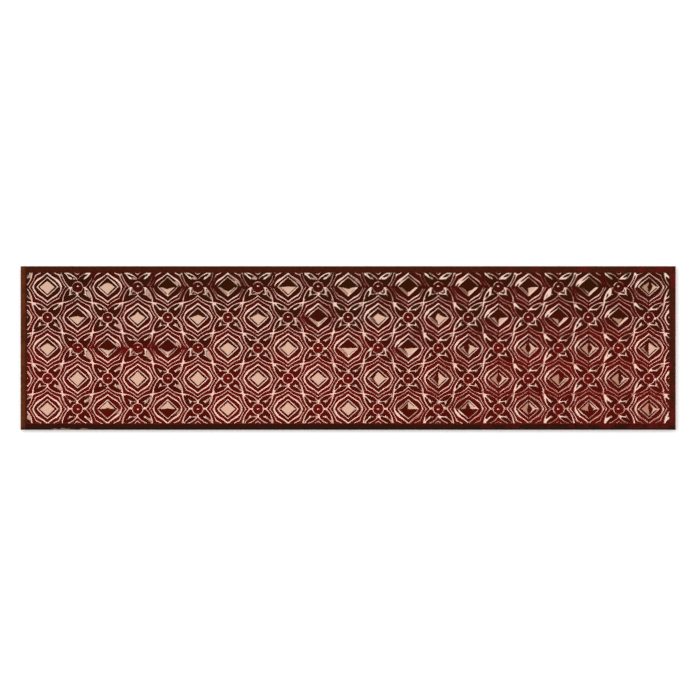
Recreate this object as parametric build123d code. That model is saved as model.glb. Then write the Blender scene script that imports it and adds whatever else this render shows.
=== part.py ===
# Pressed glass tile: a long rectangular slab whose face carries a moulded lattice of
# ogee lozenges and four-leaf flowers, sunk inside a narrow plain border.
#
# The tile lies face up. X runs along its length, Y across its width and Z up through its
# thickness. The origin is the centre of the back. All sizes are in millimetres.
from build123d import *
import math
import os

# Slab
tile_length = 300.0
tile_width = 75.0
tile_thickness = 8.0        # from the back to the top of the border
corner_radius = 0.8         # plan radius of the four corners
side_draft = 2.0            # degrees that the sides lean in towards the back
back_chamfer = 0.5

# Border round the relief
border_width = 2.6
border_land = 0.3           # level strip beside the relief, from which the border falls outwards
border_fall = 0.5           # from that strip down to the tile's edge
border_rounding = 0.7       # radius where the border rolls over into the sides
field_draft = 20.0          # degrees that the wall round the relief leans

# Face: grooves draw the pattern, and all that lies between them stands up from their level
relief_sink = 0.1           # tops of the leaves beside the long borders, below the border
dish_depth = 1.4            # how far the face is hollowed in the middle of the tile
dish_power_across = 2.5     # how late the hollow rises towards the long borders
dish_power_along = 14.0     # the same towards the ends
surface_spare = 0.5         # how far cutting bodies reach past what they cut

# Lattice: lozenges and flowers take turns along the rows and across them
lattice_step_x = 13.77      # from one motif's centre to the next, along the tile
lattice_step_y = 13.96      # the same across the tile
leaf_reach = 3.65           # flower's centre to where the leaf grooves cross its axes
leaf_bulge = 0.85           # rise of each curved leaf groove over its chord
leaf_chords = 2             # in each of those grooves

# Lozenge: an ogee groove round a diamond crest with a sunken pan in it
ogee_half_x = 6.30          # centre to the groove's round side
ogee_half_y = 6.79          # centre to the groove's point
ogee_shoulder_x = 3.90      # where the round side turns into the hollow run to the point
ogee_shoulder_y = 3.55
ogee_side_bulge = 0.46
ogee_run_bulge = 0.19
ogee_chords = 2             # in each stretch of a quarter
crest_bank_x = 1.45         # groove to the crest, at the sides
crest_bank_y = 1.94         # the same at the points
crest_rise = 0.42
pan_bank = 1.50             # crest to the rim of the pan's floor
pan_sink = 0.12             # from the crest down to that rim
pan_hollow = 0.07           # from that rim down to the middle of the floor

# Ridged band between a lozenge and its four flowers
band_rise = 0.36
band_corner_rise = 0.42
band_corner_inset = 1.68    # from the crossing of two leaf grooves, in X and in Y

# Flower: four three-sided leaves round a domed button that stands in a ring groove
leaf_rise = 0.50
leaf_heart_inset = 3.44     # from the leaf's tip to its highest point, in X and in Y
ring_radius = 2.50
ring_sides = 12
button_bank = 1.15          # ring groove to the button's shoulder
button_shoulder_rise = 0.31
button_rise = 0.42

# Back: shallow keying grooves that end short of the edges
keying_rim = 7.0
keying_groove_width = 3.4
keying_groove_depth = 0.6
keying_groove_step = 6.4
keying_draft = 30.0         # degrees that the groove walls lean

field_length = tile_length - 2 * border_width
field_width = tile_width - 2 * border_width
edge_height = tile_thickness - border_fall
groove_level = tile_thickness - relief_sink - leaf_rise     # beside the long borders
leaf_tip = (lattice_step_x / 2, lattice_step_y / 2)         # where two leaf grooves cross


def chords(start, end, bulge, count):
    """Ends of the chords along an arc; a positive bulge lies to the left of its run."""
    arc = SagittaArc(start, end, bulge)
    return [((arc @ (i / count)).X, (arc @ (i / count)).Y) for i in range(count + 1)]


def all_round(quarter):
    """A closed outline from its +X +Y quarter, which runs from the X axis to the Y axis."""
    upper = quarter + [(-x, y) for x, y in quarter[-2::-1]]
    return upper + [(x, -y) for x, y in upper[-2:0:-1]]


def diamond(half_x, half_y):
    return all_round([(half_x, 0), (0, half_y)])


def regular(radius, sides):
    turns = [2 * math.pi * i / sides for i in range(sides)]
    return [(radius * math.cos(t), radius * math.sin(t)) for t in turns]


def raised(outline, rise):
    """The outline's points at one height above the groove lines."""
    return [Vector(x, y, rise) for x, y in outline]


def fan(outline, tip):
    """Triangles from a closed outline to one point inside it."""
    return [[outline[i - 1], outline[i], tip] for i in range(len(outline))]


def fan_band(outer, inner):
    """Triangles between two closed outlines that start on the X axis and run the same way."""
    def turns(points):
        inside = [math.atan2(p.Y, p.X) % (2 * math.pi) for p in points[1:]]
        return [0] + inside + [2 * math.pi]

    outer_turns = turns(outer)
    inner_turns = turns(inner)
    triangles = []
    i = 0
    j = 0
    while i < len(outer) or j < len(inner):
        here = inner[j % len(inner)]
        along_outer = i < len(outer) and (j == len(inner) or outer_turns[i + 1] <= inner_turns[j + 1])
        if along_outer:
            triangles.append([outer[i], outer[(i + 1) % len(outer)], here])
            i += 1
        else:
            triangles.append([outer[i % len(outer)], inner[(j + 1) % len(inner)], here])
            j += 1
    return triangles


def leaf_groove_quarter():
    """The leaf grooves round a lozenge, from its X axis over the crossing to its Y axis."""
    side = chords((lattice_step_x - leaf_reach, 0), leaf_tip, leaf_bulge, leaf_chords)
    point = chords(leaf_tip, (0, lattice_step_y - leaf_reach), leaf_bulge, leaf_chords)
    return side, point


def lozenge_motif():
    side, point = leaf_groove_quarter()
    leaf_groove = raised(all_round(side + point[1:]), 0)
    shoulder = (ogee_shoulder_x, ogee_shoulder_y)
    round_side = chords((ogee_half_x, 0), shoulder, -ogee_side_bulge, ogee_chords)
    hollow_run = chords(shoulder, (0, ogee_half_y), ogee_run_bulge, ogee_chords)
    ogee_groove = raised(all_round(round_side + hollow_run[1:]), 0)

    corner = (leaf_tip[0] - band_corner_inset, leaf_tip[1] - band_corner_inset)
    band_x = (ogee_half_x + lattice_step_x - leaf_reach) / 2
    band_y = (ogee_half_y + lattice_step_y - leaf_reach) / 2
    band = [Vector(x, y, band_rise if x == 0 or y == 0 else band_corner_rise)
            for x, y in all_round([(band_x, 0), corner, (0, band_y)])]

    crest_x = ogee_half_x - crest_bank_x
    crest_y = ogee_half_y - crest_bank_y
    crest = raised(diamond(crest_x, crest_y), crest_rise)
    pan_rim = raised(diamond(crest_x - pan_bank, crest_y - pan_bank), crest_rise - pan_sink)
    pan_middle = Vector(0, 0, crest_rise - pan_sink - pan_hollow)

    triangles = fan_band(leaf_groove, band) + fan_band(band, ogee_groove)
    triangles += fan_band(ogee_groove, crest) + fan_band(crest, pan_rim)
    return triangles + fan(pan_rim, pan_middle)


def flower_motif():
    ring = regular(ring_radius, ring_sides)
    shoulder = raised(regular(ring_radius - button_bank, ring_sides), button_shoulder_rise)
    triangles = fan_band(raised(ring, 0), shoulder) + fan(shoulder, Vector(0, 0, button_rise))

    side, point = leaf_groove_quarter()
    upper_groove = [(x, lattice_step_y - y) for x, y in point]
    right_groove = [(lattice_step_x - x, y) for x, y in side]
    ring_quarter = ring[ring_sides // 4::-1]
    leaf = right_groove + upper_groove[1:] + ring_quarter
    heart = (leaf_tip[0] - leaf_heart_inset, leaf_tip[1] - leaf_heart_inset)
    for flip_x, flip_y in [(1, 1), (-1, 1), (-1, -1), (1, -1)]:
        outline = raised([(x * flip_x, y * flip_y) for x, y in leaf], 0)
        triangles += fan(outline, Vector(heart[0] * flip_x, heart[1] * flip_y, leaf_rise))
    return triangles


def level_at(x, y):
    """Height of the groove lines over the dished face."""
    across = 1 - min(abs(2 * y / field_width), 1) ** dish_power_across
    along = 1 - min(abs(2 * x / field_length), 1) ** dish_power_along
    return groove_level - dish_depth * across * along


def moulded(triangle, column, row):
    """One facet of a motif at its place and height in the dished face."""
    corners = []
    for point in triangle:
        x = point.X + column * lattice_step_x
        y = point.Y + row * lattice_step_y
        corners.append(Vector(x, y, point.Z + level_at(x, y)))
    return Face(Wire.make_polygon(corners, close=True))


def relief_surface():
    """The whole lattice as one sewn surface, reaching past the field on every side."""
    lozenge = lozenge_motif()
    flower = flower_motif()
    columns = math.ceil(field_length / 2 / lattice_step_x)
    rows = math.ceil(field_width / 2 / lattice_step_y)
    facets = []
    for column in range(-columns, columns + 1):
        for row in range(-rows, rows + 1):
            motif = lozenge if (column + row) % 2 == 0 else flower
            facets += [moulded(triangle, column, row) for triangle in motif]
    return Shell(facets)


def relief_air():
    """The tray that the mould leaves in the face, with leaning walls and the relief as its floor."""
    bottom = groove_level - dish_depth - surface_spare
    height = tile_thickness + surface_spare - bottom
    lean = math.tan(math.radians(field_draft))
    length = field_length + 2 * surface_spare * lean
    width = field_width + 2 * surface_spare * lean
    run = height * lean
    tray = Wedge(length, height, width, run, run, length - run, width - run, rotation=(-90, 0, 0))
    centred = Pos(0, 0, bottom + height / 2) * tray
    return centred.solid().split(relief_surface(), keep=Keep.TOP)


def outline_at(height, inset):
    outline = RectangleRounded(tile_length - 2 * inset, tile_width - 2 * inset, corner_radius)
    return Pos(0, 0, height) * outline


def keying_grooves():
    length = tile_length - 2 * keying_rim
    usable = tile_width - 2 * keying_rim - keying_groove_width
    pairs = int(usable / (2 * keying_groove_step) + 0.5)
    groove = extrude(Rectangle(length, keying_groove_width), keying_groove_depth, taper=keying_draft)
    return [Pos(0, (i + 0.5) * keying_groove_step, 0) * groove for i in range(-pairs, pairs)]


def slab():
    """The plain tile: leaning sides, a border that falls outwards and keying grooves in the back."""
    side_height = edge_height - border_rounding
    lean = side_height * math.tan(math.radians(side_draft))
    sides = loft([outline_at(0, lean), outline_at(side_height, 0)])
    rim = extrude(outline_at(side_height, 0), border_rounding)
    border = loft([outline_at(edge_height, 0), outline_at(tile_thickness, border_width - border_land)])
    body = sides + rim + border
    body = fillet(body.edges().filter_by(Plane.XY).group_by(Axis.Z)[2], border_rounding)
    body = chamfer(body.faces().sort_by(Axis.Z)[0].edges(), back_chamfer)
    return body - keying_grooves()


glass_tile = slab() - relief_air()

os.makedirs("parts", exist_ok=True)
export_step(glass_tile, "parts/glass_tile.step", write_pcurves=False)
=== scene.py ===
# Pressed glass tile with a moulded lattice of ogee lozenges and four-leaf flowers
import bpy
import bmesh
import math
import numpy as np
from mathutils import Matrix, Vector, noise


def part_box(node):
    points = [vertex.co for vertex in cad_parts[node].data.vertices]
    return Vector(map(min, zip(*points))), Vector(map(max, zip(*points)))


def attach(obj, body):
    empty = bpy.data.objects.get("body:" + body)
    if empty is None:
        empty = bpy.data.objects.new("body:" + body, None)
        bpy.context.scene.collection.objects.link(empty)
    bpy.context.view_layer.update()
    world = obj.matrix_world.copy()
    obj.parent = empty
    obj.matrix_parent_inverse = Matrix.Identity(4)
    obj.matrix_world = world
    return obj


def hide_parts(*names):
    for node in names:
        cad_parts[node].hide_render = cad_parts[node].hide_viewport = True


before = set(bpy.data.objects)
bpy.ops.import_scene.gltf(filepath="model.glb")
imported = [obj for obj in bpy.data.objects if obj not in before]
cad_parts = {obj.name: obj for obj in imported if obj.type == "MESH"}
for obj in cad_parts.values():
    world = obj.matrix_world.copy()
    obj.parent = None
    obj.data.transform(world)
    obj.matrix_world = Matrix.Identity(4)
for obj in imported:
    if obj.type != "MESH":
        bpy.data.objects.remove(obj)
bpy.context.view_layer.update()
tileLow, tileHigh = [Vector(corner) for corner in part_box("glass_tile")]
mm = 0.001

# Sizes below are in millimetres, in a motif from its own centre
lattice = {
    "stepX": 13.77,         # from one motif to the next, along the tile
    "stepY": 13.96,         # the same across the tile
    "leafReach": 3.65,      # flower's centre to where the leaf grooves cross its axes
    "leafBulge": 0.85,
    "parts": 5,             # stretches of mesh along each arc, two of which make a quarter of a loop
    "weld": 0.01,           # vertices nearer than this are one
    "cutReach": 0.004,      # vertices nearer than this to the field's edge lie on it
}

slopeRows = (0.14, 0.32, 0.50, 0.68, 0.86, 1.0)     # rows of mesh from a groove up to a ridge


def climb(s, low, high):    # share of the rise at s, from a rounded groove to a rounded ridge
    steep = 1 / (1 - low / 2 - high / 2)
    if s < low:
        return steep * s * s / (2 * low)
    if s > 1 - high:
        return 1 - steep * (1 - s) ** 2 / (2 * high)
    return steep * (s - low / 2)


def arc(start, end, bulge, parts):      # a positive bulge lies to the left of its run
    start, end = np.array(start, float), np.array(end, float)
    run = end - start
    length = np.hypot(*run)
    left = np.array([-run[1], run[0]]) / length
    radius = (length ** 2 / 4 + bulge ** 2) / (2 * bulge)
    centre = (start + end) / 2 + left * (bulge - radius)
    points = []
    for i in range(parts + 1):
        along = math.asin(length / 2 / radius) * (1 - 2 * i / parts)
        points.append(centre + radius * (left * math.cos(along) - run / length * math.sin(along)))
    return points


def straight(start, end, parts):
    return [np.array(start, float) + (np.array(end) - np.array(start)) * i / parts for i in range(parts + 1)]


def allRound(quarter):      # closed loop from the quarter that runs from the X axis to the Y axis
    upper = list(quarter) + [p * (-1, 1) for p in quarter[-2::-1]]
    return np.array(upper + [p * (1, -1) for p in upper[-2:0:-1]])


# Adds a loop of points; skin is 1 where the glass has its brighter coat and 0 where it hasn't
def addLoop(patch, points, rises, browns, skin=1.0):
    first = len(patch["points"])
    patch["points"] += [tuple(p) for p in points]
    patch["rises"] += list(np.broadcast_to(rises, len(points)))
    patch["browns"] += list(np.broadcast_to(browns, len(points)))
    patch["skins"] += [skin] * len(points)
    return list(range(first, first + len(points)))


def addBand(patch, outer, inner):
    for i in range(len(outer)):
        patch["faces"].append((outer[i - 1], outer[i], inner[i], inner[i - 1]))


# Bands from a loop in a groove to one on a ridge, or down from a ridge to a groove
def addSlope(patch, last, outer, inner, rises, browns, rounding):
    outerRise, innerRise = np.asarray(rises[0]), np.asarray(rises[1])
    upwards = np.max(innerRise) > np.max(outerRise)
    for s in slopeRows:
        share = climb(s, *rounding) if upwards else 1 - climb(1 - s, *rounding)
        height = outerRise + (innerRise - outerRise) * share
        here = addLoop(patch, outer + (inner - outer) * s, height, browns[0] + (browns[1] - browns[0]) * s)
        addBand(patch, last, here)
        last = here
    return last


def closeFan(patch, loop, point, rise, brown, skin=1.0):
    tip = addLoop(patch, [point], rise, brown, skin)[0]
    for i in range(len(loop)):
        patch["faces"].append((loop[i - 1], loop[i], tip))


def newPatch():
    return {"points": [], "rises": [], "browns": [], "skins": [], "faces": []}


def leafGroove():           # the two leaf grooves in a lozenge's first quarter
    tip = (lattice["stepX"] / 2, lattice["stepY"] / 2)
    reach, bulge, parts = lattice["leafReach"], lattice["leafBulge"], lattice["parts"]
    side = arc((lattice["stepX"] - reach, 0), tip, bulge, parts)
    point = arc(tip, (0, lattice["stepY"] - reach), bulge, parts)
    return side, point


# Lozenge: ogee groove, diamond crest and hollow pan inside a ridged band
lozenge = {
    "halfX": 6.50,          # the ogee groove
    "halfY": 6.70,
    "shoulder": (4.20, 3.75),       # where its round side turns into the hollow run to the point
    "sideBulge": 0.54,
    "runBulge": 0.21,
    "bandInset": 1.68,      # band's corner, in from the crossing of the leaf grooves
    "bandBulge": 0.24,
    "bandRise": 0.34,
    "bandCornerRise": 0.40,
    "crest": (4.80, 4.45),  # the diamond, from its centre to its corners
    "crestRise": 0.40,
    "pan": (3.10, 2.85),    # the pan's rim, from its centre to its corners
    "panSink": 0.17,        # from the crest down to that rim
    "panHollow": 0.07,      # from that rim down to the middle
    "panSquare": 0.4,       # share of a four-sided bowl in the hollow, the rest is round
    "panRimRows": (0.2, 0.4, 0.6, 0.8, 1.0),    # rows of mesh from the crest to the pan's rim
    "panRows": (0.3, 0.65),                     # and on towards its middle
    "leafRounding": (0.34, 0.28),   # of the groove and of the ridge, as shares of the slope's run
    "bandRounding": (0.55, 0.28),
    "crestRounding": (0.60, 0.28),
    "panRounding": (0.3, 0.3),
    "grooveBrown": 0.15,    # colour: 0 is the red of the slopes, 1 the brown of the wide hollows
    "bandBrown": 0.05,
    "crestBrown": 0.40,
    "panBrown": 0.50,
}


def lozengePatch():
    size = lozenge
    side, point = leafGroove()
    leaf = allRound(side + point[1:])
    corner = side[-1] - size["bandInset"]
    bandX = (size["halfX"] + lattice["stepX"] - lattice["leafReach"]) / 2
    bandY = (size["halfY"] + lattice["stepY"] - lattice["leafReach"]) / 2
    parts = lattice["parts"]
    band = allRound(arc((bandX, 0), corner, size["bandBulge"], parts) +
                    arc(corner, (0, bandY), size["bandBulge"], parts)[1:])
    towardsCorner = [1 - abs(i - parts) / parts for i in range(2 * parts + 1)]
    rises = [size["bandRise"] + (size["bandCornerRise"] - size["bandRise"]) * c for c in towardsCorner]
    upper = rises + rises[-2::-1]
    bandRises = np.array(upper + upper[-2:0:-1])
    ogee = allRound(arc((size["halfX"], 0), size["shoulder"], -size["sideBulge"], parts) +
                    arc(size["shoulder"], (0, size["halfY"]), size["runBulge"], parts)[1:])
    crest = allRound(straight((size["crest"][0], 0), (0, size["crest"][1]), 2 * parts))
    pan = crest * size["pan"] / size["crest"]

    def bowl(place):        # between a round bowl and a four-sided one
        shares = np.abs(place) / size["pan"]
        square = size["panSquare"]
        height = square * np.sum(shares) ** 2 + (1 - square) * np.dot(shares, shares)
        return size["crestRise"] - size["panSink"] - size["panHollow"] * (1 - height)

    groove, ridge, top = size["grooveBrown"], size["bandBrown"], size["crestBrown"]
    patch = newPatch()
    last = addLoop(patch, leaf, 0, groove)
    last = addSlope(patch, last, leaf, band, (0, bandRises), (groove, ridge), size["leafRounding"])
    last = addSlope(patch, last, band, ogee, (bandRises, 0), (ridge, groove), size["bandRounding"])
    last = addSlope(patch, last, ogee, crest, (0, size["crestRise"]), (groove, top), size["crestRounding"])
    low = np.array([bowl(p) for p in pan])
    for s in size["panRimRows"]:
        height = low + (size["crestRise"] - low) * climb(1 - s, *size["panRounding"])
        here = addLoop(patch, crest + (pan - crest) * s, height, top + (size["panBrown"] - top) * s, 1 - s)
        addBand(patch, last, here)
        last = here
    for s in size["panRows"]:
        here = addLoop(patch, pan * (1 - s), [bowl(p * (1 - s)) for p in pan], size["panBrown"], 0.0)
        addBand(patch, last, here)
        last = here
    closeFan(patch, last, (0, 0), bowl((0, 0)), size["panBrown"], 0.0)
    return patch


# Flower: four three-sided leaves round a domed button in a ring groove
flower = {
    "ring": 2.50,           # radius of the ring groove
    "buttonRise": 0.72,
    "buttonRounding": (0.24, 0.76),
    "heartInset": 3.44,     # leaf's highest point, in from the leaf's tip
    "leafRise": 0.46,
    "leafRounding": (0.17, 0.42),
    "buttonRows": (0.0, 0.08, 0.18, 0.34, 0.52, 0.70, 0.86),    # of mesh, inwards
    "leafRows": (0.0, 0.06, 0.13, 0.34, 0.58, 0.75, 0.90),
    "grooveBrown": 0.15,
    "leafBrown": 0.55,
    "leafBrownRun": 0.4,    # share of the slope over which a leaf turns brown
    "buttonBrown": 0.12,
}


def flowerPatch():
    size = flower
    side, point = leafGroove()
    steps = np.array([lattice["stepX"], lattice["stepY"]])
    rightGroove = [np.array([steps[0] - p[0], p[1]]) for p in side]
    upperGroove = [np.array([p[0], steps[1] - p[1]]) for p in point]
    parts = lattice["parts"]
    turns = [math.pi / 2 * i / parts for i in range(4 * parts)]
    ring = [size["ring"] * np.array([math.cos(t), math.sin(t)]) for t in turns]
    outline = rightGroove + upperGroove[1:] + ring[parts::-1]
    heart = side[-1] - size["heartInset"]

    patch = newPatch()
    for flip in ((1, 1), (-1, 1), (-1, -1), (1, -1)):
        outer = np.array(outline) * flip
        if flip[0] * flip[1] < 0:
            outer = outer[::-1]
        loops = []
        for s in size["leafRows"]:
            share = min(1, s / size["leafBrownRun"])
            brown = size["grooveBrown"] + (size["leafBrown"] - size["grooveBrown"]) * share
            height = size["leafRise"] * climb(s, *size["leafRounding"])
            loops.append(addLoop(patch, outer + (heart * flip - outer) * s, height, brown))
        for before, after in zip(loops, loops[1:]):
            addBand(patch, before, after)
        closeFan(patch, loops[-1], heart * flip, size["leafRise"], size["leafBrown"])
    loops = []
    for s in size["buttonRows"]:
        height = size["buttonRise"] * climb(s, *size["buttonRounding"])
        loops.append(addLoop(patch, np.array(ring) * (1 - s), height, size["buttonBrown"]))
    for before, after in zip(loops, loops[1:]):
        addBand(patch, before, after)
    closeFan(patch, loops[-1], (0, 0), size["buttonRise"], size["buttonBrown"])
    return patch


# Face: dished between the borders, and warped as pressed glass is
face = {
    "sink": 0.25,           # highest leaves, below the border's top
    "dish": 1.4,            # hollow of the face between the long borders
    "dishPower": 2.5,       # how late the face rises towards the long borders
    "endPower": 14.0,       # the same towards the ends
    "ceiling": 0.03,        # nothing in the field stands nearer to the border's top than this
    "leanReach": 12.5,      # how far round a motif's centre its lean spreads
    "warp": (0.11, 19.0),   # height and size of the broad warp
    "ripple": (0.004, 4.5), # the same for the small one
}

# Motifs that lean, in degrees to the east and to the north: one dictionary for each row
leans = {
    2: {-10: (0, 2.2), -8: (0, 3.0), -7: (0, -1), -6: (0, -0.6), -5: (0, -2), -4: (0, -2.4), -3: (0, -2),
        -2: (0, 1.2), 0: (0, -0.6), 1: (0, -1.5), 2: (0, -2.4), 3: (0, -2), 4: (0, -2.4), 5: (0, -1.5),
        6: (-1, -0.3), 8: (0, -2.6), 9: (0, -1), 10: (0, 1.8)},
    1: {-9: (-1, -1.4), -2: (0, -2.0), -1: (0, -4.2), 5: (0, -2.2), 7: (0, -3.0), 9: (2, -2.6)},
    0: {-9: (0, -3.6), -8: (0, -4.4), -7: (0, -4.6), -6: (0, -4.8), -5: (0, -3.4), -2: (0, -0.4),
        0: (0, -2.6), 1: (0, -2.0), 2: (0, -2.9), 4: (1, -0.8)},
    -1: {3: (0.6, 0), 5: (0.5, 0), 7: (1, -1.2), 8: (0, 1)},
    -2: {-9: (0, 1.5), -8: (0, 5.0), -7: (0, 2.5), -6: (0, 4.6), -5: (0, 1.0),
         2: (1, 4.4), 3: (0, 2.0), 4: (1, 4.4), 5: (0, 1.5), 6: (0.5, 1.5), 8: (-0.5, 3.0)},
}


def fieldHalf():
    return tileHigh.x / mm - border["width"], tileHigh.y / mm - border["width"]


def grooveLevels(x, y):     # height of the groove lines over the face
    halfX, halfY = fieldHalf()
    rimLevel = tileHigh.z / mm - face["sink"] - flower["leafRise"]
    across = 1 - np.minimum(np.abs(y) / halfY, 1) ** face["dishPower"]
    along = 1 - np.minimum(np.abs(x) / halfX, 1) ** face["endPower"]
    level = rimLevel - face["dish"] * across * along
    for row, cells in leans.items():
        for column, (east, north) in cells.items():
            dx, dy = x - column * lattice["stepX"], y - row * lattice["stepY"]
            spread = np.maximum(0, 1 - (dx ** 2 + dy ** 2) / face["leanReach"] ** 2) ** 2
            level -= (math.tan(math.radians(east)) * dx + math.tan(math.radians(north)) * dy) * spread
    for height, size in (face["warp"], face["ripple"]):
        level += [height * noise.noise(Vector((px / size, py / size, size))) for px, py in zip(x, y)]
    return level


def reliefMesh():           # every motif of the lattice in one mesh, past the field on all sides
    halfX, halfY = fieldHalf()
    columns = math.ceil(halfX / lattice["stepX"])
    rows = math.ceil(halfY / lattice["stepY"])
    motifs = [lozengePatch(), flowerPatch()]
    points, rises, browns, skins, faces = [], [], [], [], []
    for column in range(-columns, columns + 1):
        for row in range(-rows, rows + 1):
            motif = motifs[(column + row) % 2]
            faces += [tuple(len(points) + i for i in corners) for corners in motif["faces"]]
            east, north = column * lattice["stepX"], row * lattice["stepY"]
            points += [(x + east, y + north) for x, y in motif["points"]]
            rises += motif["rises"]
            browns += motif["browns"]
            skins += motif["skins"]
    x, y = np.array(points).T
    ceiling = tileHigh.z / mm - face["ceiling"]
    z = np.minimum(grooveLevels(x, y) + rises, ceiling)
    mesh = bpy.data.meshes.new("relief")
    mesh.from_pydata(list(zip(x, y, z)), [], faces)
    mesh.attributes.new("brown", "FLOAT", "POINT").data.foreach_set("value", browns)
    mesh.attributes.new("skin", "FLOAT", "POINT").data.foreach_set("value", skins)
    mesh.attributes.new("border", "FLOAT", "POINT")
    print("lattice:", len(points), "points")
    return mesh


# Border: a wall up from the relief, a narrow strip that falls outwards, and the tile's sides
border = {
    "width": 2.6,
    "land": 0.3,            # strip beside the relief that falls less
    "landFall": 0.06,
    "fall": 0.5,            # from the top out to the edge
    "rounding": 0.7,
    "roundingTurns": (25, 50, 72, 90),          # degrees
    "wallRun": 0.5,
    "wallSteps": ((0.55, 0.3), (0.2, 0.75)),    # how far in, as shares of the run, and how high up
    "wallBrown": 0.8,
    "spacing": 2.0,         # of the mesh along the border
    "draft": 2.0,           # degrees that the sides lean
    "chamfer": 0.5,
}


def cutField(mesh):         # trims the lattice to the field
    halfX, halfY = fieldHalf()
    bm = bmesh.new()
    bm.from_mesh(mesh)
    bmesh.ops.remove_doubles(bm, verts=bm.verts, dist=lattice["weld"])
    inset = border["wallRun"]
    for normal, reach in (((1, 0, 0), halfX), ((-1, 0, 0), halfX), ((0, 1, 0), halfY), ((0, -1, 0), halfY)):
        place = Vector(normal) * (reach - inset)
        parts = bm.verts[:] + bm.edges[:] + bm.faces[:]
        bmesh.ops.bisect_plane(bm, geom=parts, dist=lattice["cutReach"], plane_co=place, plane_no=normal,
                               clear_outer=True)
    return bm


def ringProfile():          # steps outwards: shares of the wall's height, then heights of the border
    width, land, radius = border["width"], border["land"], border["rounding"]
    top = tileHigh.z / mm
    wall = [(-border["wallRun"] * inwards, height) for inwards, height in border["wallSteps"]]
    slope = (border["fall"] - border["landFall"]) / (width - land)
    edge = width - radius
    start = top - border["landFall"] - slope * (edge - land)
    rings = [(0.0, top), (land, top - border["landFall"]), (edge, start)]
    for turn in border["roundingTurns"]:
        t = math.radians(turn)
        out = radius * math.sin(t)
        rings.append((edge + out, start - slope * out * math.cos(t) - radius * (1 - math.cos(t))))
    lean = math.tan(math.radians(border["draft"]))
    low = rings[-1][1]
    rings.append((width - lean * (low - border["chamfer"]), border["chamfer"]))
    rings.append((rings[-1][0] - border["chamfer"], 0))
    return wall, rings


# Welds a ring's vertices to neighbours nearer than the spacing, and leaves its corners
def thinRing(bm, start, spacing):
    far = [max(origin[axis] for origin in start.values()) for axis in (0, 1)]
    onto = {}
    for axis in (0, 1):
        for sign in (-1, 1):
            edge = sign * far[axis]
            row = [v for v, origin in start.items() if abs(origin[axis] - edge) < lattice["weld"]]
            row.sort(key=lambda v: start[v][1 - axis])
            last = row[0]
            for v in row[1:-1]:
                if (v.co - last.co).length < spacing:
                    onto[v] = last
                else:
                    last = v
    bmesh.ops.weld_verts(bm, targetmap=onto)
    return {v: origin for v, origin in start.items() if v.is_valid}


def addRings(bm):
    halfX, halfY = fieldHalf()
    top = tileHigh.z / mm
    wall, rings = ringProfile()
    brownLayer = bm.verts.layers.float["brown"]
    borderLayer = bm.verts.layers.float["border"]
    edges = [e for e in bm.edges if e.is_boundary]
    start = {v: v.co.copy() for e in edges for v in e.verts}
    inset = border["wallRun"]
    for edge in edges:
        edge.smooth = False
    for number, (offset, height) in enumerate(wall + rings):
        made = bmesh.ops.extrude_edge_only(bm, edges=edges)["geom"]
        nextStart = {}
        for v in [g for g in made if isinstance(g, bmesh.types.BMVert)]:
            source = [e.other_vert(v) for e in v.link_edges if e.other_vert(v) in start][0]
            origin = start[source]
            nextStart[v] = origin
            x = origin.x * (halfX + offset) / (halfX - inset)
            y = origin.y * (halfY + offset) / (halfY - inset)
            z = origin.z + (top - origin.z) * height if number < len(wall) else height
            v.co = Vector((x, y, z))
            v[brownLayer] = border["wallBrown"]
            v[borderLayer] = 1.0 if number >= len(wall) else 0.0
        start = nextStart
        edges = [g for g in made if isinstance(g, bmesh.types.BMEdge) and g.is_boundary]
        if number == len(wall):
            start = thinRing(bm, start, border["spacing"])
            edges = [e for e in bm.edges if e.is_boundary]
            for edge in edges:
                edge.smooth = False
    return edges


# Back: keying grooves that stop short of the edges
back = {
    "rim": 7.0,
    "width": 3.4,
    "depth": 0.6,
    "step": 6.4,
    "lean": 0.35,           # run of the grooves' walls
    "flatBelow": 1.0,       # faces lower than this have hard edges
}


def addBack(bm, edges):
    reachX = tileHigh.x / mm - back["rim"]
    usable = 2 * (tileHigh.y / mm - back["rim"]) - back["width"]
    pairs = int(usable / (2 * back["step"]) + 0.5)
    outline = list(edges)
    half, lean = back["width"] / 2, back["lean"]
    for i in range(-pairs, pairs):
        y = (i + 0.5) * back["step"]
        rim = [bm.verts.new(p) for p in ((-reachX, y - half, 0), (reachX, y - half, 0),
                                         (reachX, y + half, 0), (-reachX, y + half, 0))]
        floor = [bm.verts.new(p) for p in ((lean - reachX, y - half + lean, back["depth"]),
                                           (reachX - lean, y - half + lean, back["depth"]),
                                           (reachX - lean, y + half - lean, back["depth"]),
                                           (lean - reachX, y + half - lean, back["depth"]))]
        for k in range(4):
            bm.faces.new((rim[k - 1], rim[k], floor[k], floor[k - 1]))
            outline.append(bm.edges.get((rim[k - 1], rim[k])))
        bm.faces.new(floor)
    bmesh.ops.triangle_fill(bm, use_beauty=True, use_dissolve=False, edges=outline)


def buildTile():
    mesh = reliefMesh()
    bm = cutField(mesh)
    edges = addRings(bm)
    addBack(bm, edges)
    bmesh.ops.recalc_face_normals(bm, faces=bm.faces[:])
    for part in bm.faces:
        part.smooth = part.calc_center_median().z > back["flatBelow"]
    bmesh.ops.scale(bm, vec=(mm, mm, mm), verts=bm.verts[:])
    bm.to_mesh(mesh)
    triangles = sum(len(f.verts) - 2 for f in bm.faces)
    openEdges = sum(1 for e in bm.edges if not e.is_manifold)
    bm.free()
    print("tile mesh:", triangles, "triangles,", openEdges, "open edges")
    piece = bpy.data.objects.new("glassTile", mesh)
    bpy.context.scene.collection.objects.link(piece)
    return piece


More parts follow.
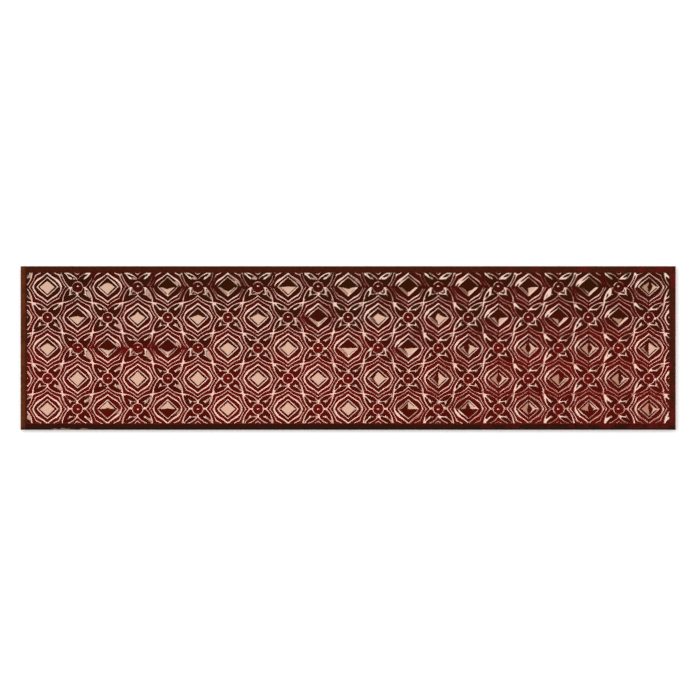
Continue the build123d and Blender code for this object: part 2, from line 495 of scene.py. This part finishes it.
# Shared effect: cloudy patches in the glass, a broad layer and a fine one
mottle = {
    "broadScale": 40.0,
    "fineScale": 300.0,
    "broadDetail": 4.0,
    "fineDetail": 2.0,
    "span": (0.3, 0.7),     # of the noise, spread out to 0 and 1
}


def mottleGroup():
    group = bpy.data.node_groups.new("mottle", "ShaderNodeTree")
    sockets = group.interface
    for name, scale in (("Broad Scale", mottle["broadScale"]), ("Fine Scale", mottle["fineScale"])):
        sockets.new_socket(name, in_out="INPUT", socket_type="NodeSocketFloat").default_value = scale
    sockets.new_socket("Patches", in_out="OUTPUT", socket_type="NodeSocketFloat")
    sockets.new_socket("Grain", in_out="OUTPUT", socket_type="NodeSocketFloat")
    nodes, links = group.nodes, group.links
    inputs, outputs = nodes.new("NodeGroupInput"), nodes.new("NodeGroupOutput")
    place = nodes.new("ShaderNodeTexCoord")
    for scale, result, detail in (("Broad Scale", "Patches", mottle["broadDetail"]),
                                  ("Fine Scale", "Grain", mottle["fineDetail"])):
        cloud = nodes.new("ShaderNodeTexNoise")
        cloud.inputs["Detail"].default_value = detail
        links.new(place.outputs["Object"], cloud.inputs["Vector"])
        links.new(inputs.outputs[scale], cloud.inputs["Scale"])
        spread = nodes.new("ShaderNodeMapRange")
        spread.inputs["From Min"].default_value = mottle["span"][0]
        spread.inputs["From Max"].default_value = mottle["span"][1]
        links.new(cloud.outputs["Fac"], spread.inputs["Value"])
        links.new(spread.outputs["Result"], outputs.inputs[result])


class Wiring:               # short words for a material's nodes
    def __init__(self, name):
        self.material = bpy.data.materials.new(name)
        self.material.use_nodes = True
        self.nodes, self.links = self.material.node_tree.nodes, self.material.node_tree.links
        self.shader = self.nodes["Principled BSDF"]

    def feed(self, socket, value):
        if isinstance(value, bpy.types.NodeSocket):
            self.links.new(value, socket)
        else:
            socket.default_value = value

    def math(self, operation, first, second, third=0.0, clamp=False):
        node = self.nodes.new("ShaderNodeMath")
        node.operation, node.use_clamp = operation, clamp
        for socket, value in zip(node.inputs, (first, second, third)):
            self.feed(socket, value)
        return node.outputs[0]

    def span(self, value, low, high):       # 0 at low and 1 at high
        node = self.nodes.new("ShaderNodeMapRange")
        for name, number in (("Value", value), ("From Min", low), ("From Max", high)):
            self.feed(node.inputs[name], number)
        return node.outputs["Result"]

    def mix(self, share, first, second):
        node = self.nodes.new("ShaderNodeMix")
        node.data_type = "RGBA"
        sockets = (node.inputs["Factor"], node.inputs[6], node.inputs[7])
        for socket, value in zip(sockets, (share, first, second)):
            self.feed(socket, value)
        return node.outputs[2]

    def attribute(self, name):
        node = self.nodes.new("ShaderNodeAttribute")
        node.attribute_name = name
        return node.outputs["Fac"]

    def mottle(self, broad, fine):
        node = self.nodes.new("ShaderNodeGroup")
        node.node_tree = bpy.data.node_groups["mottle"]
        node.inputs["Broad Scale"].default_value, node.inputs["Fine Scale"].default_value = broad, fine
        return node.outputs["Patches"], node.outputs["Grain"]

    def place(self):
        node = self.nodes.new("ShaderNodeTexCoord")
        split = self.nodes.new("ShaderNodeSeparateXYZ")
        self.links.new(node.outputs["Object"], split.inputs["Vector"])
        return split.outputs["X"], split.outputs["Y"], split.outputs["Z"]

    def bump(self, height, distance):
        node = self.nodes.new("ShaderNodeBump")
        node.inputs["Distance"].default_value = distance
        self.links.new(height, node.inputs["Height"])
        self.links.new(node.outputs["Normal"], self.shader.inputs["Normal"])

    def seenDirectly(self):     # 1 for the rays that show a background
        path = self.nodes.new("ShaderNodeLightPath")
        glossy = self.math("ADD", path.outputs["Is Glossy Ray"], path.outputs["Is Transmission Ray"])
        return self.math("ADD", path.outputs["Is Camera Ray"], glossy, clamp=True)


# Colours, and where each one lies; places and heights here are in metres
glass = {
    "red": (0.155, 0.0052, 0.0032, 1),      # slopes
    "maroon": (0.078, 0.0042, 0.0018, 1),
    "brown": (0.041, 0.0078, 0.0012, 1),    # wide hollows
    "topBorder": (0.076, 0.0135, 0.0045, 1),
    "bottomBorder": (0.044, 0.0085, 0.0040, 1),
    "leftBorder": (0.160, 0.036, 0.0090, 1),
    "redPatch": (0.150, 0.0095, 0.0070, 1),
    # near black of the border's dark specks, and of the painted shade line along the tile's lower side
    "shadeLineAndSpecks": (0.004, 0.0005, 0.0003, 1),
    "chip": (0.300, 0.190, 0.140, 1),
    "reflection": (1.0, 0.66, 0.49, 1),
    "ior": 1.52,
    "coat": 0.28,           # brighter skin on all but the hollow pans
    "roughness": 0.04,
    "grainHeight": 0.000004,
    "cloudScales": (55.0, 420.0),           # of the mottle: broad and fine
    "streakScales": (170.0, 1400.0),
    "cloudBrown": (0.36, -0.30),            # how much brown the clouds add, and what they start from
    "upperBrown": 0.62,     # more brown towards the upper border
    "upperSpan": (-0.010, 0.030),
    "lowerSpan": -0.030,    # from here down the side borders darken
    "patchSpan": 0.02,      # from here on to the right the border turns patchy
    "patchStreaks": (0.45, 0.80),
    "leftFade": 0.0008,
    "leftStreaks": (-0.25, 0.60),
    "speckSpan": (0.40, 1.0),
    "speckShare": 0.5,
    "shadeLineReach": (0.0009, 0.0004),      # painted shade: a near-black line along the lower side, in from the lower edge
    "shadeLineHeights": (0.0054, 0.0064),
    "chipEnds": (-0.1365, -0.1165),         # along the lower edge
    "chipFade": 0.002,
    "chipDepth": 0.0011,
    "chipSpecks": 0.30,
    "chipFoot": 0.0066,     # chips lie above this height
    "chipRoughness": 0.6,
}


def fieldColour(w, patches, y):     # redder in the slopes, browner in the hollows and along the top
    upper = w.math("MULTIPLY", w.span(y, *glass["upperSpan"]), glass["upperBrown"])
    cloudy = w.math("MULTIPLY_ADD", patches, *glass["cloudBrown"])
    brown = w.math("ADD", w.math("ADD", w.attribute("brown"), upper), cloudy, clamp=True)
    ramp = w.nodes.new("ShaderNodeValToRGB")
    stops = ramp.color_ramp.elements
    stops.new(0.5)
    for stop, name in zip(stops, ("red", "maroon", "brown")):
        stop.color = glass[name]
    w.links.new(brown, ramp.inputs["Fac"])
    return ramp.outputs["Color"]


# Red-brown at the top, amber at the left, patchy at the right, nearly black below
def borderColour(w, streaks, specks, x, y):
    halfX, halfY = (half * mm for half in fieldHalf())
    colour = w.mix(w.span(y, glass["lowerSpan"], -halfY), glass["topBorder"], glass["bottomBorder"])
    patchy = w.math("MULTIPLY", w.span(x, glass["patchSpan"], halfX), w.span(streaks, *glass["patchStreaks"]))
    colour = w.mix(patchy, colour, glass["redPatch"])
    left = w.span(x, -halfX, -halfX - glass["leftFade"])
    amber = w.math("MULTIPLY", left, w.span(streaks, *glass["leftStreaks"]))
    colour = w.mix(amber, colour, glass["leftBorder"])
    dark = w.math("MULTIPLY", w.span(specks, *glass["speckSpan"]), glass["speckShare"])
    return w.mix(dark, colour, glass["shadeLineAndSpecks"])


def chipMask(w, grain, specks, x, y, z):    # small chips along the lower edge
    start, end = glass["chipEnds"]
    fade = glass["chipFade"]
    stretch = w.math("MULTIPLY", w.span(x, start, start + fade), w.span(x, end, end - fade))
    depth = w.math("MULTIPLY_ADD", grain, glass["chipDepth"], -tileHigh.y)
    broken = w.math("GREATER_THAN", specks, glass["chipSpecks"])
    low = w.math("MULTIPLY", w.math("LESS_THAN", y, depth), broken)
    above = w.math("GREATER_THAN", z, glass["chipFoot"])
    return w.math("MULTIPLY", stretch, w.math("MULTIPLY", low, above))


def glassMaterial():
    w = Wiring("redGlass")
    w.shader.inputs["IOR"].default_value = glass["ior"]
    w.shader.inputs["Specular Tint"].default_value = glass["reflection"]
    patches, grain = w.mottle(*glass["cloudScales"])
    streaks, specks = w.mottle(*glass["streakScales"])
    x, y, z = w.place()
    colour = w.mix(w.attribute("border"), fieldColour(w, patches, y), borderColour(w, streaks, specks, x, y))
    # Painted shade: a near-black line low on the tile's lower side, where that side lies in shade
    outer, inner = (reach - tileHigh.y for reach in glass["shadeLineReach"])
    shadeLineAndSpecks = w.math("MULTIPLY", w.span(y, outer, inner), w.span(z, *glass["shadeLineHeights"]))
    colour = w.mix(shadeLineAndSpecks, colour, glass["shadeLineAndSpecks"])
    chip = chipMask(w, grain, specks, x, y, z)
    colour = w.mix(chip, colour, glass["chip"])
    roughness = w.math("MULTIPLY_ADD", chip, glass["chipRoughness"], glass["roughness"])
    skin = w.math("MULTIPLY", w.attribute("skin"), glass["coat"])
    w.links.new(colour, w.shader.inputs["Base Color"])
    w.links.new(roughness, w.shader.inputs["Roughness"])
    w.links.new(skin, w.shader.inputs["Coat Weight"])
    w.bump(grain, glass["grainHeight"])
    print("material:", w.material.name)
    return w.material


paper = {                   # the floor, in metres
    "size": 8,
    "drop": 0.0003,         # below the tile's back
    "colour": (0.95, 0.95, 0.95, 1),
    "roughness": 0.9,
    "glow": 0.3,            # near the tile, for the rays that show a background
    "farGlow": 0.7,         # added to it far off, where the lamps' light is weak
    "farSpan": (0.4, 1.8),
}


def buildStage():
    bpy.ops.mesh.primitive_plane_add(size=paper["size"], location=(0, 0, -paper["drop"]))
    floor = bpy.context.object
    floor.name = "floor"
    w = Wiring("paleFloor")
    w.shader.inputs["Base Color"].default_value = paper["colour"]
    w.shader.inputs["Roughness"].default_value = paper["roughness"]
    w.shader.inputs["Specular IOR Level"].default_value = 0.0
    w.shader.inputs["Emission Color"].default_value = (1, 1, 1, 1)
    place = w.nodes.new("ShaderNodeTexCoord")
    distance = w.nodes.new("ShaderNodeVectorMath")
    distance.operation = "LENGTH"
    w.links.new(place.outputs["Object"], distance.inputs[0])
    far = w.span(distance.outputs["Value"], *paper["farSpan"])
    glow = w.math("MULTIPLY_ADD", far, paper["farGlow"], paper["glow"])
    w.links.new(w.math("MULTIPLY", w.seenDirectly(), glow), w.shader.inputs["Emission Strength"])
    floor.data.materials.append(w.material)
    print("stage:", floor.name)


lamps = {                   # low and high corner and height in metres, brightness, colour
    "mainSoftbox": ((-0.43, -0.12), (0.115, 0.36), 1.4, 15.7, (1.0, 1.0, 1.0)),
    "sideSoftbox": ((0.225, -0.12), (0.46, 0.36), 1.4, 9.4, (1.0, 0.86, 0.80)),
}


def buildLight():
    for name, (low, high, height, radiance, colour) in lamps.items():
        lamp = bpy.data.lights.new(name, "AREA")
        lamp.shape = "RECTANGLE"
        lamp.color = colour
        lamp.size, lamp.size_y = high[0] - low[0], high[1] - low[1]
        lamp.energy = radiance * math.pi * lamp.size * lamp.size_y
        holder = bpy.data.objects.new(name, lamp)
        holder.location = ((low[0] + high[0]) / 2, (low[1] + high[1]) / 2, height)
        holder.visible_camera = False
        bpy.context.scene.collection.objects.link(holder)
    print("lights:", ", ".join(lamps))


studio = {                  # the world: dim overhead, pale towards the horizon, white for the camera
    "horizon": 0.5,
    "overhead": 0.05,
    "fadeEnd": 0.7,         # height on the unit sphere from which it is as dim as overhead
}


def buildWorld():
    world = bpy.data.worlds.new("studio")
    bpy.context.scene.world = world
    world.use_nodes = True
    nodes, links = world.node_tree.nodes, world.node_tree.links
    background = nodes["Background"]
    background.inputs["Color"].default_value = (1, 1, 1, 1)
    place = nodes.new("ShaderNodeTexCoord")
    split = nodes.new("ShaderNodeSeparateXYZ")
    fade = nodes.new("ShaderNodeMapRange")
    fade.inputs["From Max"].default_value = studio["fadeEnd"]
    fade.inputs["To Min"].default_value = studio["horizon"]
    fade.inputs["To Max"].default_value = studio["overhead"]
    camera = nodes.new("ShaderNodeLightPath")
    strength = nodes.new("ShaderNodeMath")
    strength.operation = "MAXIMUM"
    links.new(place.outputs["Generated"], split.inputs["Vector"])
    links.new(split.outputs["Z"], fade.inputs["Value"])
    links.new(fade.outputs["Result"], strength.inputs[0])
    links.new(camera.outputs["Is Camera Ray"], strength.inputs[1])
    links.new(strength.outputs["Value"], background.inputs["Strength"])
    print("world:", world.name)


shot = {                    # looks straight down, framed as the photograph is
    "frameWidth": 696,      # in pixels, like the two below
    "tileWidth": 655.7,
    "tileCentre": (348.15, 348.0),
    "distance": 1.4,
    "sensor": 36,
}


def buildCamera():
    width = (tileHigh.x - tileLow.x) * shot["frameWidth"] / shot["tileWidth"]
    camera = bpy.data.cameras.new("camera")
    camera.sensor_width = shot["sensor"]
    camera.lens = camera.sensor_width * shot["distance"] / width
    holder = bpy.data.objects.new("camera", camera)
    shiftX = (shot["frameWidth"] / 2 - shot["tileCentre"][0]) / shot["frameWidth"] * width
    shiftY = (shot["tileCentre"][1] - shot["frameWidth"] / 2) / shot["frameWidth"] * width
    holder.location = (shiftX, shiftY, tileHigh.z + shot["distance"])
    bpy.context.scene.collection.objects.link(holder)
    bpy.context.scene.camera = holder
    print("camera:", round(camera.lens), "mm lens,", shot["distance"], "m up")


mottleGroup()
tile = buildTile()
tile.data.materials.append(glassMaterial())
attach(tile, "root")
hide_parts("glass_tile")
buildStage()
buildLight()
buildWorld()
buildCamera()
bpy.context.scene.view_settings.view_transform = "Standard"
